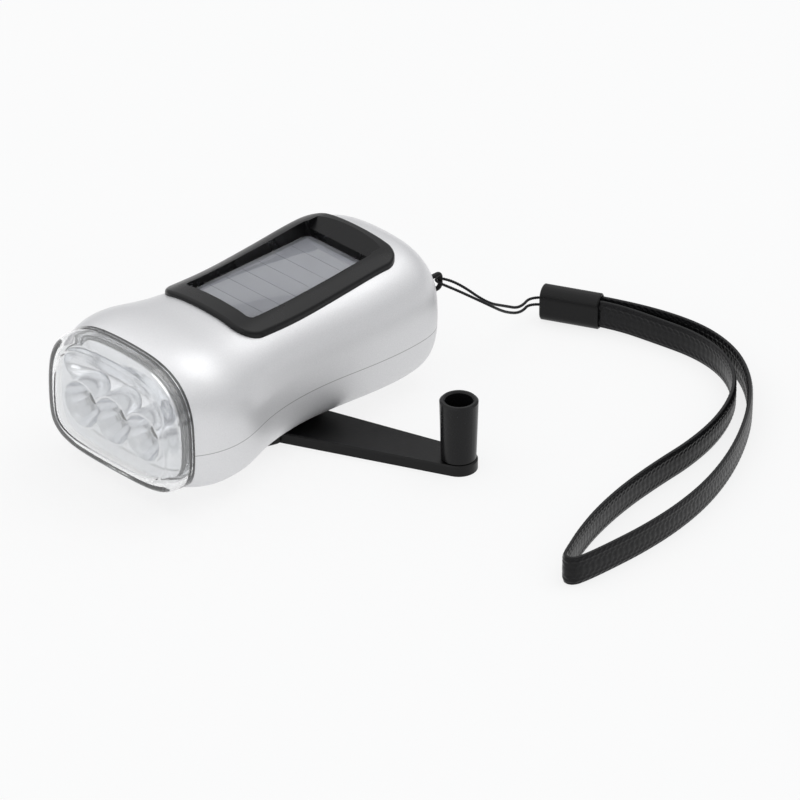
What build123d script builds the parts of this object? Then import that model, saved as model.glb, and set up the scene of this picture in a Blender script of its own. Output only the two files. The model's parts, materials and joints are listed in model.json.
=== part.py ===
from build123d import *
import math
import os

# Hand crank flashlight with a solar panel on its back and a looped wrist strap.
# Millimetres. The origin is on the crank's turning axis, at the underside that the
# torch lies on. +Z is up, the lens looks towards -Y and the crank is swung out to +X.

os.makedirs("parts", exist_ok=True)

# ---- driving dimensions -------------------------------------------------------
# running and standing clearances
FIT = 0.05            # radial clearance of shafts and bores that turn
GAP = 0.3             # space between parts that pass each other
SEAT = 0.1            # space around pieces that are dropped into a seat

# crank
ARM_T = 3.0           # arm thickness
ARM_REACH = 60.0      # crank axis to knob axis
ARM_ANGLE = 21.3      # arm direction in the rest pose, from +X towards +Y
ARM_HALF_ROOT = 8.5   # half width over the hub
ARM_HALF_TIP = 5.0    # half width and end radius at the knob
ARM_TAPER_FROM = 6.0  # where the taper starts
HINGE_BACK = 9.0      # arm hinge, behind the crank axis
HINGE_R = 0.75
HUB_R = 16.0
HUB_WEB = 2.9
HUB_BOSS_R = 4.0
HUB_BOSS_L = 2.8
SHAFT_R = 2.0
SHAFT_SCREW_R = 1.0
SHAFT_SCREW_HEAD_R = 2.6
SHAFT_SCREW_HEAD_T = 1.2

# knob
KNOB_H = 17.0
KNOB_R_LOW = 4.6
KNOB_R_TOP = 5.05
KNOB_BORE_R = 3.6
KNOB_WEB = 2.6
KNOB_PIN_R = 1.3
KNOB_PIN_HEAD_R = 2.6
KNOB_PIN_HEAD_T = 1.2

# body shell
UNDER = 3.5           # body underside above the floor
WALL = 2.0
PARTING = 13.0        # parting plane above the body underside
FRONT_Y = -41.0       # rim of the shell behind the lens
SOLE_CUT = 0.3        # flattening of the underside
# position along Y, half width, underside, crown, widest height, roundness above, below
STATIONS = [
    (-41.0, 24.6, 0.0, 36.4, 15.0, 3.0, 3.9),
    (-38.5, 26.0, 0.0, 37.1, 14.5, 2.9, 4.5),
    (-34.5, 27.4, 0.0, 37.5, 14.0, 2.8, 4.9),
    (-29.0, 27.9, 0.0, 37.2, 14.0, 2.7, 4.8),
    (-23.0, 26.9, 0.0, 36.3, 14.0, 2.65, 4.8),
    (-16.5, 24.8, 0.0, 35.6, 14.0, 2.75, 4.5),
    (-8.5, 23.0, 0.0, 35.2, 14.5, 2.9, 4.2),
    (1.5, 22.2, 0.0, 35.2, 15.0, 2.95, 4.0),
    (11.5, 22.6, 0.0, 35.6, 15.0, 2.95, 4.0),
    (21.5, 23.7, 0.0, 36.2, 14.5, 2.9, 4.0),
    (31.0, 24.3, 0.0, 36.9, 14.0, 2.9, 4.0),
    (39.0, 24.1, 0.2, 36.9, 14.5, 2.85, 4.0),
    (44.7, 23.1, 1.1, 35.9, 15.0, 2.8, 3.8),
    (48.6, 21.1, 2.9, 33.8, 16.0, 2.7, 3.4),
    (51.3, 17.9, 5.8, 30.9, 17.0, 2.6, 3.0),
    (52.8, 13.6, 9.4, 27.3, 17.5, 2.5, 2.7),
    (53.5, 8.6, 13.0, 23.5, 18.0, 2.4, 2.4),
]
CLOSING_FROM = 44.0   # stations behind this form the rounded rear end
TIP_Y = 53.5

# lens and reflector
LENS_WALL = 1.6
LENS_DEPTH = 7.0      # lens front beyond the shell rim
LENS_EDGE = 4.2       # width of the rounded border of its front
LENS_ROUND = 4.2      # 2 is a quarter ellipse, more is a tighter edge
LENS_FLANGE = 1.3
LENS_LIP = 2.4
LIP_INSET = 2.1
LIP_T = 0.8
REFL_INSET = 3.1
REFL_FRONT = 3.0      # reflector's flat front ahead of the shell rim
REFL_BACK = 7.4       # reflector back behind the shell rim
REFL_FLANGE_Y = 2.6
REFL_FLANGE_T = 1.4
STOP_W = 16.0         # width of the ribs that the flange rests on
CUP_PITCH = 11.6
CUP_Z = 18.8
CUP_R = 6.4
CUP_AHEAD = 2.2       # cup rims ahead of the flat front
CUP_DEPTH = 8.4
CUP_RIM = 0.5         # wall round each cup at its rim
CUP_SIDES = 14
# smooth bowl: distance behind the flat front, half width, lower and upper edge
BOWL = [(-0.2, 20.2, 21.6, 35.6), (1.4, 19.4, 22.0, 35.0), (3.2, 16.9, 23.0, 33.6),
        (4.8, 12.0, 24.6, 31.6), (5.6, 5.0, 26.6, 29.8)]
LED_R = 2.5
LED_FLANGE_R = 2.9
LED_FLANGE_T = 1.2
LED_TIP = 1.6         # lamp dome behind the flat front
LED_BOARD_T = 1.6
LED_BOARD_GAP = 1.7   # reflector back to board

# solar cell
WINDOW_HALF_X = 12.4
WINDOW_Y0 = -10.1
WINDOW_Y1 = 34.0
WELL_WALL = 1.1
WELL_REAR = 3.4       # thicker rear wall under the window's sloped edge
WELL_FLOOR = 1.2
PANEL_Z = 31.5        # underside of the cell carrier above the body underside
PANEL_T = 1.2
CELL_T = 0.2
COAT_T = 0.4
BEZEL_HALF_X = 17.0
BEZEL_FRONT = 5.9     # bezel band ahead of the window
BEZEL_REAR = 6.5      # and behind it
BEZEL_RISE = 1.3      # bezel above the shell
BEZEL_CORNER = 6.0
BEZEL_ROUND = 1.0     # rounding of the band's outer edge
CELLS = 7
CELL_GAP = 0.15

# gear train
MODULE = 0.8
DRIVE_TEETH = 40
IDLER_1_TEETH = 30
IDLER_2_TEETH = 26
PINION_TEETH = 10
PRESSURE = 25.0
ADDENDUM = 0.8        # of the module
DEDENDUM = 1.05       # of the module
TOOTH_SLACK = 0.07    # taken off each tooth's width
GEAR_T = 2.5
GEAR_STEP = 0.6       # between the gear levels
IDLER_1_AT = 110.0    # direction of each shaft from the one before
IDLER_2_AT = 40.0
ROTOR_AT = 130.0
AXLE_R = 1.0
ROTOR_SHAFT_R = 0.75
PLATE_T = 1.5
PLATE_UNDER = 3.8     # gear frame above the inside of the lower shell
PLATE_HALF_X = 17.5
PLATE_FRONT = 17.3
PLATE_REAR = 47.5
PILLAR_R = 2.2
PILLARS = [(-13.0, -15.0), (13.0, -15.0), (14.5, 16.5), (-14.0, 33.5)]
MAGNET_R = 5.0
STATOR_R = 8.2
STATOR_T = 0.7

# screws
CASE_SCREW_R = 1.25
CASE_SCREW_HEAD_R = 2.3
CASE_SCREW_HEAD_T = 1.6
CASE_SCREW_L = 20.0
CASE_BOSS_R = 3.3
CASE_SCREW_SEAT = 4.2  # shoulder under the head, above the body underside
CASE_SCREWS = [(-20.5, -25.5), (20.5, -25.5), (-16.5, 40.5), (16.5, 40.5)]
SMALL_SCREW_R = 1.0
SMALL_SCREW_HEAD_R = 1.8
SMALL_SCREW_HEAD_T = 1.4

# electronics
BOARD_Z = 23.1        # underside above the body underside
BOARD_T = 1.4
BOARD_HALF_X = 17.0
BOARD_Y0 = -9.5
BOARD_Y1 = 32.5
BOARD_POSTS = [(-15.4, 6.0), (15.4, 6.0), (-15.4, 29.0), (15.4, 29.0)]
BOARD_POST_R = 1.7
CELL_R = 5.8
CELL_L = 5.4
CELL_COUNT = 3
CELL_Y = -23.6
CELL_Z = 10.5         # cell axis above the body underside
SLEEVE_T = 0.3
CRADLE_WALL = 1.4     # end walls of the cell cradle
CRADLE_ABOVE = 2.0    # their height above the cell axis

# switch
SWITCH_Z = 21.0       # above the body underside
SWITCH_Y = -6.5
SWITCH_TRAVEL = 3.0
SWITCH_CAP = (1.6, 6.0, 4.4)
SWITCH_STEM = (2.0, 1.8)
SWITCH_POCKET_X = 21.0
SWITCH_PAD_X = 19.3   # inner face of the thickened wall round the switch
SWITCH_STEM_IN = 18.0

# strap
EYE_X = 15.6
EYE_Y = 55.1
EYE_Z = 25.5
EYE_HALF = 2.1
EYE_WIRE_R = 0.65
EYE_BEND = 1.2
THREAD_R = 0.4
THREAD_TURN = 1.15    # thread centre line from the eye's bar
BEAD_START = (17.6, 91.9)
BEAD_ANGLE = 26.0
BEAD_L = 16.4
BEAD_H = 10.0
BEAD_W = 6.4
BEAD_SLOT_H = 8.6
BEAD_SLOT_W = 3.9
STRAP_W = 8.0
STRAP_T = 1.2
STRAP_HALF_GAP = 1.15
STRAP_LIE = 4.05      # height of the tape's centre line where it lies on the floor

# ---- derived sizes ------------------------------------------------------------
SEAM_Z = UNDER + PARTING
FLOOR_Z = UNDER + WALL                       # inside of the lower shell
HUB_TOP = ARM_T + GAP + HUB_WEB
POCKET_Z = HUB_TOP + GAP                     # ceiling of the hub pocket
U_AX = (math.cos(math.radians(ARM_ANGLE)), math.sin(math.radians(ARM_ANGLE)))
V_AX = (-U_AX[1], U_AX[0])
KNOB_AT = (ARM_REACH * U_AX[0], ARM_REACH * U_AX[1])


def polar(start, reach, degrees):
    a = math.radians(degrees)
    return (start[0] + reach * math.cos(a), start[1] + reach * math.sin(a))


def mesh_distance(a, b):
    return MODULE * (a + b) / 2


DRIVE_AT = (0.0, 0.0)
IDLER_1 = polar(DRIVE_AT, mesh_distance(DRIVE_TEETH, PINION_TEETH), IDLER_1_AT)
IDLER_2 = polar(IDLER_1, mesh_distance(IDLER_1_TEETH, PINION_TEETH), IDLER_2_AT)
ROTOR = polar(IDLER_2, mesh_distance(IDLER_2_TEETH, PINION_TEETH), ROTOR_AT)

PLATE_Z = FLOOR_Z + PLATE_UNDER
LEVEL_0 = PLATE_Z + PLATE_T                  # top of the lower plate
LEVEL_A = LEVEL_0 + 0.5
LEVEL_B = LEVEL_A + GEAR_T + GEAR_STEP
LEVEL_C = LEVEL_B + GEAR_T + GEAR_STEP
COVER_Z = LEVEL_C + GEAR_T + GEAR_STEP
COVER_TOP = COVER_Z + PLATE_T


# ---- body sections ------------------------------------------------------------
def oval(half_w, low, high, mid, n_up, n_low, count=28):
    """Closed outline: flat sides, rounded crown and rounded underside."""
    points = []
    for i in range(count):
        a = 2 * math.pi * (i + 0.5) / count
        c, s = math.cos(a), math.sin(a)
        n, rise = (n_up, high - mid) if s > 0 else (n_low, mid - low)
        x = half_w * math.copysign(abs(c) ** (2 / n), c)
        z = mid + rise * math.copysign(abs(s) ** (2 / n), s)
        points.append((x, z))
    return points


def ring(station, inset):
    """Outline of the body at one station, drawn in by inset."""
    _, w, low, high, mid, n_up, n_low = station
    return oval(w - inset, UNDER + low + inset, UNDER + high - inset, UNDER + mid, n_up, n_low)


def across(y):
    """Plane across the body at y, with its own x and y along +X and +Z."""
    return Plane.XZ.offset(-y)


def hull_body(inset, sink=0.0):
    """The body's smooth form, drawn in by inset on all sides and at the rear end."""
    with BuildPart() as form:
        squeeze = (TIP_Y - inset - CLOSING_FROM) / (TIP_Y - CLOSING_FROM)
        for k, station in enumerate(STATIONS):
            y, w, low, high, mid, n_up, n_low = station
            if y > CLOSING_FROM:
                y = CLOSING_FROM + (y - CLOSING_FROM) * squeeze
            if k == 0:
                y -= max(inset, 0) * 0.5
            with BuildSketch(across(y)):
                with BuildLine():
                    Spline(*ring((y, w, low - sink, high, mid, n_up, n_low), inset), periodic=True)
                make_face()
        loft()
    return form.part


def rim_face(inset):
    """Outline of the shell's front rim, drawn in by inset, for use in a sketch."""
    Spline(*ring(STATIONS[0], inset), periodic=True)


outer_form = hull_body(0.0, SOLE_CUT)
inner_form = hull_body(WALL)
frame_form = hull_body(WALL + 2 * GAP)

# ---- shells -------------------------------------------------------------------
well_half_x = WINDOW_HALF_X + WELL_WALL
well_y0, well_y1 = WINDOW_Y0 - WELL_WALL, WINDOW_Y1 + WELL_REAR
well_mid_y, well_len = (well_y0 + well_y1) / 2, well_y1 - well_y0
panel_z = UNDER + PANEL_Z
slope_z = panel_z + PANEL_T + CELL_T + COAT_T + 1.4
bezel_y0, bezel_y1 = WINDOW_Y0 - BEZEL_FRONT, WINDOW_Y1 + BEZEL_REAR
switch_z = UNDER + SWITCH_Z
switch_mid = SWITCH_Y + SWITCH_TRAVEL / 2
board_z = UNDER + BOARD_Z
led_board_y = FRONT_Y + REFL_BACK + LED_BOARD_GAP
refl_flange_y = FRONT_Y + REFL_FLANGE_Y
stop_low = UNDER + REFL_INSET - GAP                  # ribs behind the reflector's flange
stop_high = UNDER + STATIONS[0][3] - REFL_INSET + GAP
eye_legs = [EYE_Z - EYE_HALF, EYE_Z + EYE_HALF]
screw_seat_z = UNDER + CASE_SCREW_SEAT

# bosses, board posts, reflector stop and switch pad inside the upper shell
with BuildPart() as upper_bosses:
    with BuildSketch(Plane.XY.offset(SEAM_Z)):
        with Locations(*CASE_SCREWS):
            Circle(CASE_BOSS_R)
    extrude(amount=UNDER + 40 - SEAM_Z)
    with BuildSketch(Plane.XY.offset(board_z + BOARD_T)):
        with Locations(*BOARD_POSTS):
            Circle(BOARD_POST_R)
    extrude(amount=10)
    with BuildSketch(across(refl_flange_y + REFL_FLANGE_T)):
        with Locations((0, stop_high + 10)):
            Rectangle(STOP_W, 20)
    extrude(amount=-1.2)
    with BuildSketch(Plane.YZ.offset(-SWITCH_PAD_X)):
        with Locations((switch_mid, switch_z)):
            Rectangle(SWITCH_CAP[1] + SWITCH_TRAVEL + 4, SWITCH_CAP[2] + 4)
    extrude(amount=-8)
    add(inner_form, mode=Mode.INTERSECT)

with BuildPart() as upper_shell:
    add(outer_form)
    add(inner_form, mode=Mode.SUBTRACT)
    add(upper_bosses.part)
    with BuildSketch(Plane.XY.offset(SEAM_Z)):
        Rectangle(200, 200)
    extrude(amount=-60, mode=Mode.SUBTRACT)
    with BuildSketch(Plane.XY.offset(SEAM_Z)):
        with Locations(*CASE_SCREWS):
            Circle(CASE_SCREW_R)
    extrude(amount=13, mode=Mode.SUBTRACT)
    with BuildSketch(Plane.XY.offset(board_z)):
        with Locations(*BOARD_POSTS):
            Circle(SMALL_SCREW_R)
    extrude(amount=BOARD_T + 3.4, mode=Mode.SUBTRACT)
    # opening for the solar cell's well
    with BuildSketch(Plane.XY.offset(board_z + 6)):
        with Locations((0, well_mid_y)):
            Rectangle(2 * (well_half_x + SEAT), well_len + 2 * SEAT)
    extrude(amount=30, mode=Mode.SUBTRACT)
    # flat recess and slot for the switch
    with BuildSketch(Plane.YZ.offset(-SWITCH_POCKET_X)):
        with Locations((switch_mid, switch_z)):
            Rectangle(SWITCH_CAP[1] + SWITCH_TRAVEL + 4 * GAP, SWITCH_CAP[2] + 4 * GAP)
    extrude(amount=-10, mode=Mode.SUBTRACT)
    with BuildSketch(Plane.YZ.offset(-SWITCH_STEM_IN)):
        with Locations((switch_mid, switch_z)):
            Rectangle(SWITCH_STEM[0] + SWITCH_TRAVEL + 2 * GAP, SWITCH_STEM[1] + 2 * GAP)
    extrude(amount=-10, mode=Mode.SUBTRACT)
    # holes for the two legs of the strap eye
    with BuildSketch(across(EYE_Y - 10)):
        with Locations(*[(EYE_X, z) for z in eye_legs]):
            Circle(EYE_WIRE_R)
    extrude(amount=-8.5, mode=Mode.SUBTRACT)
upper_shell.part.label = "upper_shell"

# plate over the hub pocket, screw columns, gear frame feet and reflector stop
with BuildPart() as lower_bosses:
    with BuildSketch(Plane.XY.offset(UNDER)):
        Circle(HUB_R + 2 * GAP + WALL)
    extrude(amount=POCKET_Z + WALL - UNDER)
    with BuildSketch(Plane.XY.offset(UNDER)):
        with Locations(*CASE_SCREWS):
            Circle(CASE_BOSS_R)
    extrude(amount=SEAM_Z - UNDER)
    with BuildSketch(Plane.XY.offset(UNDER)):
        with Locations(*PILLARS):
            Circle(PILLAR_R)
    extrude(amount=PLATE_Z - UNDER)
    with BuildSketch(across(refl_flange_y + REFL_FLANGE_T)):
        with Locations((0, stop_low - 2)):
            Rectangle(STOP_W, 4)
    extrude(amount=-1.2)
    add(inner_form, mode=Mode.INTERSECT)

with BuildPart() as lower_shell:
    add(outer_form)
    add(inner_form, mode=Mode.SUBTRACT)
    add(lower_bosses.part)
    with BuildSketch(Plane.XY.offset(SEAM_Z)):
        Rectangle(200, 200)
    extrude(amount=60, mode=Mode.SUBTRACT)
    with BuildSketch(Plane.XY.offset(UNDER)):
        Rectangle(200, 200)
    extrude(amount=-10, mode=Mode.SUBTRACT)
    # hub pocket, open below, and the bearing of the hub
    with BuildSketch(Plane.XY.offset(UNDER - 5)):
        Circle(HUB_R + 2 * GAP)
    extrude(amount=POCKET_Z - UNDER + 5, mode=Mode.SUBTRACT)
    with BuildSketch(Plane.XY.offset(POCKET_Z)):
        Circle(HUB_BOSS_R + FIT)
    extrude(amount=WALL, mode=Mode.SUBTRACT)
    # countersunk case screws from below
    with BuildSketch(Plane.XY.offset(UNDER)):
        with Locations(*CASE_SCREWS):
            Circle(CASE_SCREW_HEAD_R + SEAT)
    extrude(amount=CASE_SCREW_SEAT, mode=Mode.SUBTRACT)
    with BuildSketch(Plane.XY.offset(UNDER)):
        with Locations(*CASE_SCREWS):
            Circle(CASE_SCREW_R + SEAT)
    extrude(amount=PARTING, mode=Mode.SUBTRACT)
    with BuildSketch(Plane.XY.offset(FLOOR_Z + 1.0)):
        with Locations(*PILLARS):
            Circle(SMALL_SCREW_R)
    extrude(amount=PLATE_UNDER, mode=Mode.SUBTRACT)
lower_shell.part.label = "lower_shell"

with BuildPart() as case_screws:
    with BuildSketch(Plane.XY.offset(screw_seat_z)):
        with Locations(*CASE_SCREWS):
            Circle(CASE_SCREW_HEAD_R)
    extrude(amount=-CASE_SCREW_HEAD_T)
    with BuildSketch(Plane.XY.offset(screw_seat_z)):
        with Locations(*CASE_SCREWS):
            Circle(CASE_SCREW_R)
    extrude(amount=CASE_SCREW_L - CASE_SCREW_HEAD_T)
    with BuildSketch(Plane.XY.offset(screw_seat_z - CASE_SCREW_HEAD_T)):
        with Locations(*CASE_SCREWS):
            Rectangle(2.6, 0.5)
            Rectangle(0.5, 2.6)
    extrude(amount=0.7, mode=Mode.SUBTRACT)
case_screws.part.label = "case_screws"

# ---- lens, reflector and lamps ------------------------------------------------
def domed(depth, turn):
    """How far ahead of the rim, and how far in from it, the dome is at this turn of its edge."""
    a = math.radians(turn)
    ahead = depth * math.sin(a) ** (2 / LENS_ROUND)
    inset = LENS_EDGE * (1 - math.cos(a) ** (2 / LENS_ROUND))
    return ahead, inset


LENS_TURNS = (0, 1, 5, 14, 30, 48, 64, 76, 84, 90)
with BuildPart() as lens_hollow:
    for turn in LENS_TURNS:
        ahead, inset = domed(LENS_DEPTH - LENS_WALL, turn)
        with BuildSketch(across(FRONT_Y - ahead)):
            with BuildLine():
                rim_face(inset + LENS_WALL)
            make_face()
    loft()

with BuildPart() as lens_cover:
    for turn in LENS_TURNS:
        ahead, inset = domed(LENS_DEPTH, turn)
        with BuildSketch(across(FRONT_Y - ahead)):
            with BuildLine():
                rim_face(inset)
            make_face()
    loft()
    add(lens_hollow.part, mode=Mode.SUBTRACT)
    # flange on the shell's rim and lip inside its mouth
    with BuildSketch(across(FRONT_Y - LENS_FLANGE)):
        with BuildLine():
            rim_face(0.5)
        make_face()
        with BuildLine():
            rim_face(LIP_INSET + LIP_T)
        make_face(mode=Mode.SUBTRACT)
    extrude(amount=-LENS_FLANGE)
    with BuildSketch(across(FRONT_Y - LENS_FLANGE)):
        with BuildLine():
            rim_face(LIP_INSET)
        make_face()
        with BuildLine():
            rim_face(LIP_INSET + LIP_T)
        make_face(mode=Mode.SUBTRACT)
    extrude(amount=-(LENS_FLANGE + LENS_LIP))
lens_cover.part.label = "lens_cover"

refl_front_y = FRONT_Y - REFL_FRONT
refl_back_y = FRONT_Y + REFL_BACK
cup_front_y = refl_front_y - CUP_AHEAD
lamp_xs = [-CUP_PITCH, 0.0, CUP_PITCH]
LED_SCREWS = [(-14.5, 27.0), (14.5, 27.0)]
# smooth bowl above the lamps
with BuildPart() as bowl:
    for back, w, low, high in BOWL:
        with BuildSketch(across(refl_front_y + back)):
            with BuildLine():
                Spline(*oval(w, low, high, (low + high) / 2 - 1, 2.3, 2.6, 24), periodic=True)
            make_face()
    loft()

with BuildPart() as reflector:
    with BuildSketch(across(refl_front_y)):
        with BuildLine():
            rim_face(REFL_INSET)
        make_face()
    extrude(amount=-(REFL_FRONT + REFL_BACK))
    with BuildSketch(across(refl_flange_y)):
        with BuildLine():
            rim_face(WALL + 0.2)
        make_face()
    extrude(amount=-REFL_FLANGE_T)
    with BuildSketch(across(refl_back_y)):
        with Locations(*LED_SCREWS):
            Circle(2.0)
    extrude(amount=-LED_BOARD_GAP)
    add(bowl.part, mode=Mode.SUBTRACT)
    # round bosses with faceted cups, and the lamps' holes
    with BuildSketch(across(cup_front_y)):
        with Locations(*[(x, CUP_Z) for x in lamp_xs]):
            Circle(CUP_R + CUP_RIM)
    extrude(amount=-(CUP_AHEAD + REFL_FRONT + REFL_BACK))
    for x in lamp_xs:
        with BuildSketch(across(cup_front_y - 0.2)):
            with Locations((x, CUP_Z)):
                RegularPolygon(CUP_R + 0.1, CUP_SIDES)
        with BuildSketch(across(cup_front_y + CUP_DEPTH)):
            with Locations((x, CUP_Z)):
                RegularPolygon(LED_R + 0.35, CUP_SIDES)
        loft(ruled=True, mode=Mode.SUBTRACT)
    with BuildSketch(across(refl_front_y + 2)):
        with Locations(*[(x, CUP_Z) for x in lamp_xs]):
            Circle(LED_R + 0.2)
    extrude(amount=-20, mode=Mode.SUBTRACT)
    with BuildSketch(across(refl_back_y + LED_BOARD_GAP)):
        with Locations(*LED_SCREWS):
            Circle(SMALL_SCREW_R - 0.1)
    extrude(amount=4.0, mode=Mode.SUBTRACT)
reflector.part.label = "reflector"

led_y = refl_front_y + LED_TIP
leds = []
for name, x in zip(("led_left", "led_centre", "led_right"), lamp_xs):
    with BuildPart() as led:
        with BuildSketch(Plane((x, 0, CUP_Z), x_dir=(1, 0, 0), z_dir=(0, 0, 1))) as dome:
            with BuildLine():
                Polyline((0, led_board_y), (LED_FLANGE_R, led_board_y),
                         (LED_FLANGE_R, led_board_y - LED_FLANGE_T),
                         (LED_R, led_board_y - LED_FLANGE_T), (LED_R, led_y + LED_R))
                RadiusArc((LED_R, led_y + LED_R), (0, led_y), LED_R)
                Line((0, led_y), (0, led_board_y))
            make_face()
        revolve(axis=Axis((x, 0, CUP_Z), (0, 1, 0)))
        with BuildSketch(across(led_board_y)):
            with Locations((x - 1.27, CUP_Z), (x + 1.27, CUP_Z)):
                Circle(0.3)
        extrude(amount=-(LED_BOARD_T + 0.6))
    led.part.label = name
    leds.append(led.part)

with BuildPart() as led_board:
    with BuildSketch(across(led_board_y)):
        with BuildLine():
            rim_face(REFL_INSET + 0.6)
        make_face()
        with Locations(*[(x + d, CUP_Z) for x in lamp_xs for d in (-1.27, 1.27)]):
            Circle(0.35, mode=Mode.SUBTRACT)
        with Locations(*LED_SCREWS):
            Circle(SMALL_SCREW_R - 0.1, mode=Mode.SUBTRACT)
    extrude(amount=-LED_BOARD_T)
led_board.part.label = "led_board"

with BuildPart() as led_screws:
    with BuildSketch(across(led_board_y + LED_BOARD_T)):
        with Locations(*LED_SCREWS):
            Circle(SMALL_SCREW_HEAD_R)
    extrude(amount=-1.1)
    with BuildSketch(across(led_board_y + LED_BOARD_T)):
        with Locations(*LED_SCREWS):
            Circle(SMALL_SCREW_R - 0.1)
    extrude(amount=LED_BOARD_T + 3.6)
led_screws.part.label = "led_screws"

# ---- solar cell and its frame -------------------------------------------------
bezel_form = hull_body(-BEZEL_RISE)

with BuildPart() as bezel_skin:
    add(bezel_form)
    add(hull_body(-0.03), mode=Mode.SUBTRACT)

with BuildPart() as well:
    with BuildSketch(Plane.XY.offset(panel_z - WELL_FLOOR)):
        with Locations((0, well_mid_y)):
            Rectangle(2 * well_half_x, well_len)
    extrude(amount=20)
    add(bezel_form, mode=Mode.INTERSECT)

with BuildPart() as solar_bezel:
    with BuildSketch(Plane.XY.offset(UNDER + 26)):
        with Locations((0, (bezel_y0 + bezel_y1) / 2)):
            RectangleRounded(2 * BEZEL_HALF_X, bezel_y1 - bezel_y0, BEZEL_CORNER)
    extrude(amount=20)
    add(bezel_skin.part, mode=Mode.INTERSECT)
    skin_top = solar_bezel.faces().sort_by(SortBy.AREA)[-2:].sort_by(Axis.Z)[-1]
    fillet(skin_top.edges(), BEZEL_ROUND)
    add(well.part)
    with BuildSketch(Plane.XY.offset(panel_z)):
        with Locations((0, (WINDOW_Y0 + WINDOW_Y1) / 2)):
            RectangleRounded(2 * WINDOW_HALF_X, WINDOW_Y1 - WINDOW_Y0, 1.6)
    extrude(amount=20, mode=Mode.SUBTRACT)
    # sloped rear edge of the window
    with BuildSketch(Plane.YZ.offset(-WINDOW_HALF_X + 0.6)):
        with BuildLine():
            Polyline((WINDOW_Y1 - 1, slope_z), (WINDOW_Y1 - 0.4, slope_z),
                     (WINDOW_Y1 + 7.0, slope_z + 0.77 * 7.4), (WINDOW_Y1 - 1, slope_z + 6),
                     close=True)
        make_face()
    extrude(amount=2 * WINDOW_HALF_X - 1.2, mode=Mode.SUBTRACT)
    with BuildSketch(Plane.XY.offset(panel_z - 5)):
        with Locations((0, WINDOW_Y0 + 6)):
            Circle(1.6)
    extrude(amount=6, mode=Mode.SUBTRACT)
solar_bezel.part.label = "solar_bezel"

panel_x = 2 * (WINDOW_HALF_X - 0.15)
panel_y = WINDOW_Y1 - WINDOW_Y0 - 0.3
panel_mid = (0, (WINDOW_Y0 + WINDOW_Y1) / 2)
with BuildPart() as solar_substrate:
    with BuildSketch(Plane.XY.offset(panel_z)):
        with Locations(panel_mid):
            RectangleRounded(panel_x, panel_y, 1.5)
    extrude(amount=PANEL_T)
solar_substrate.part.label = "solar_substrate"

cell_y = (panel_y - 3.0) / CELLS
with BuildPart() as solar_cells:
    with BuildSketch(Plane.XY.offset(panel_z + PANEL_T)):
        with Locations(panel_mid):
            with GridLocations(0, cell_y, 1, CELLS):
                Rectangle(panel_x - 2.6, cell_y - CELL_GAP)
    extrude(amount=CELL_T)
solar_cells.part.label = "solar_cells"

with BuildPart() as solar_coat:
    with BuildSketch(Plane.XY.offset(panel_z + PANEL_T + CELL_T)):
        with Locations(panel_mid):
            RectangleRounded(panel_x, panel_y, 1.5)
    extrude(amount=COAT_T)
solar_coat.part.label = "solar_coat"

# ---- crank --------------------------------------------------------------------
crank_plane = Plane((0, 0, 0), x_dir=(U_AX[0], U_AX[1], 0), z_dir=(0, 0, 1))
slot_half = ARM_HALF_ROOT + GAP
slot_z = ARM_T + GAP
hinge_plane = Plane((-HINGE_BACK * U_AX[0], -HINGE_BACK * U_AX[1], ARM_T / 2),
                    x_dir=(U_AX[0], U_AX[1], 0), z_dir=(V_AX[0], V_AX[1], 0))
chord_half = math.sqrt(HUB_R ** 2 - HINGE_BACK ** 2)

with BuildPart() as crank_hub:
    with BuildSketch(crank_plane):
        Circle(HUB_R)
    extrude(amount=HUB_TOP)
    chamfer(crank_hub.edges().group_by(Axis.Z)[0], 0.5)
    with BuildSketch(crank_plane):
        Rectangle(2 * HUB_R + 2, 2 * slot_half)
    extrude(amount=slot_z, mode=Mode.SUBTRACT)
    with BuildSketch(Plane.XY.offset(HUB_TOP)):
        Circle(HUB_BOSS_R)
    extrude(amount=HUB_BOSS_L)
    # socket of the shaft, screw hole and screw head recess
    with BuildSketch(Plane.XY.offset(HUB_TOP - HUB_WEB / 2)):
        Circle(SHAFT_R)
    extrude(amount=HUB_WEB + HUB_BOSS_L, mode=Mode.SUBTRACT)
    with BuildSketch(Plane.XY.offset(slot_z - 1)):
        Circle(SHAFT_SCREW_R)
    extrude(amount=HUB_WEB + 1, mode=Mode.SUBTRACT)
    with BuildSketch(Plane.XY.offset(slot_z)):
        Circle(SHAFT_SCREW_HEAD_R)
    extrude(amount=SHAFT_SCREW_HEAD_T, mode=Mode.SUBTRACT)
    with BuildSketch(hinge_plane.offset(-HUB_R)):
        Circle(HINGE_R)
    extrude(amount=2 * HUB_R, mode=Mode.SUBTRACT)
crank_hub.part.label = "crank_hub"

with BuildPart() as shaft_screw:
    with BuildSketch(Plane.XY.offset(slot_z)):
        Circle(SHAFT_SCREW_HEAD_R)
        Rectangle(3.0, 0.6, mode=Mode.SUBTRACT)
        Rectangle(0.6, 3.0, mode=Mode.SUBTRACT)
    extrude(amount=SHAFT_SCREW_HEAD_T / 2)
    with BuildSketch(Plane.XY.offset(slot_z + SHAFT_SCREW_HEAD_T / 2)):
        Circle(SHAFT_SCREW_HEAD_R)
    extrude(amount=SHAFT_SCREW_HEAD_T / 2)
    with BuildSketch(Plane.XY.offset(slot_z + SHAFT_SCREW_HEAD_T)):
        Circle(SHAFT_SCREW_R)
    extrude(amount=6.0)
shaft_screw.part.label = "shaft_screw"

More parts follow.
